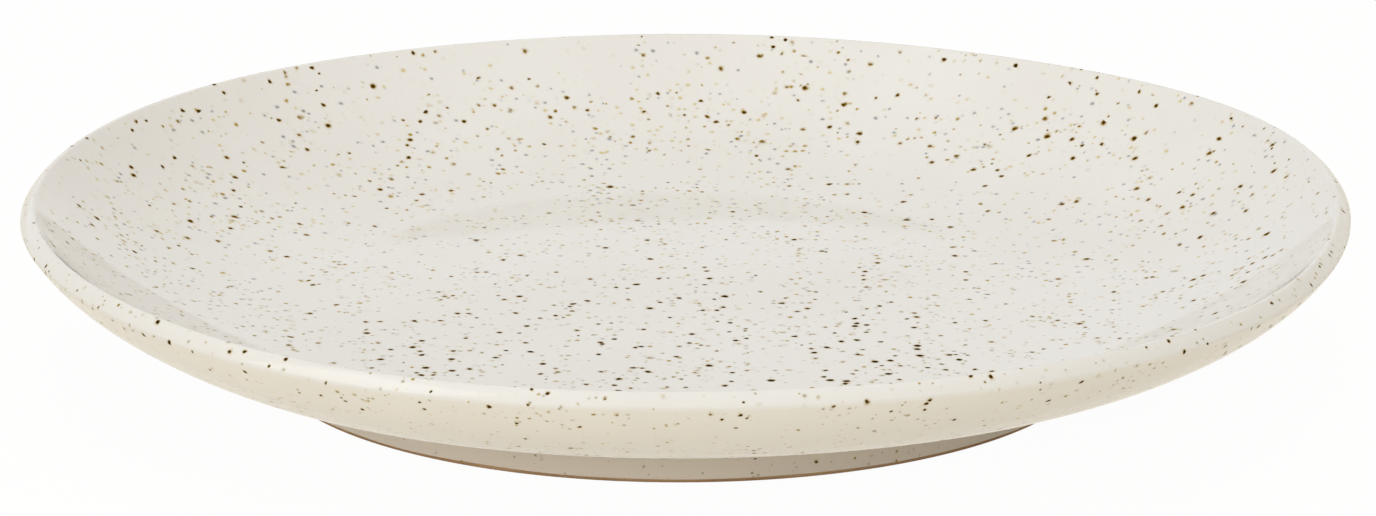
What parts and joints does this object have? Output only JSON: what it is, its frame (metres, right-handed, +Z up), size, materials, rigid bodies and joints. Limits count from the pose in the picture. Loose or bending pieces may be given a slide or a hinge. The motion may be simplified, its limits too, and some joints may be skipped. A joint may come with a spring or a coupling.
{
  "type": "dessert plate",
  "caption": "Round shallow stoneware dessert plate with a full round lip, a curved wall and a low foot ring, covered in a speckled cream glaze that stops above the bare foot.",
  "frame": {"origin": "centre of the foot ring's standing face, on the table", "axes": "+Z up along the axis that the plate is turned about; the plate is round, so X and Y are free"},
  "size_m": [0.2, 0.2, 0.0249],
  "materials": {
    "fired_clay": "bare fired stoneware, warm buff brown, dry and fine-grained",
    "speckled_glaze": "glossy cream glaze with brown and grey iron specks"
  },
  "bodies": {
    "root": {"clay_body": "fired_clay", "glaze_coat": "speckled_glaze", "base_glaze": "speckled_glaze"}
  },
  "joints": []
}
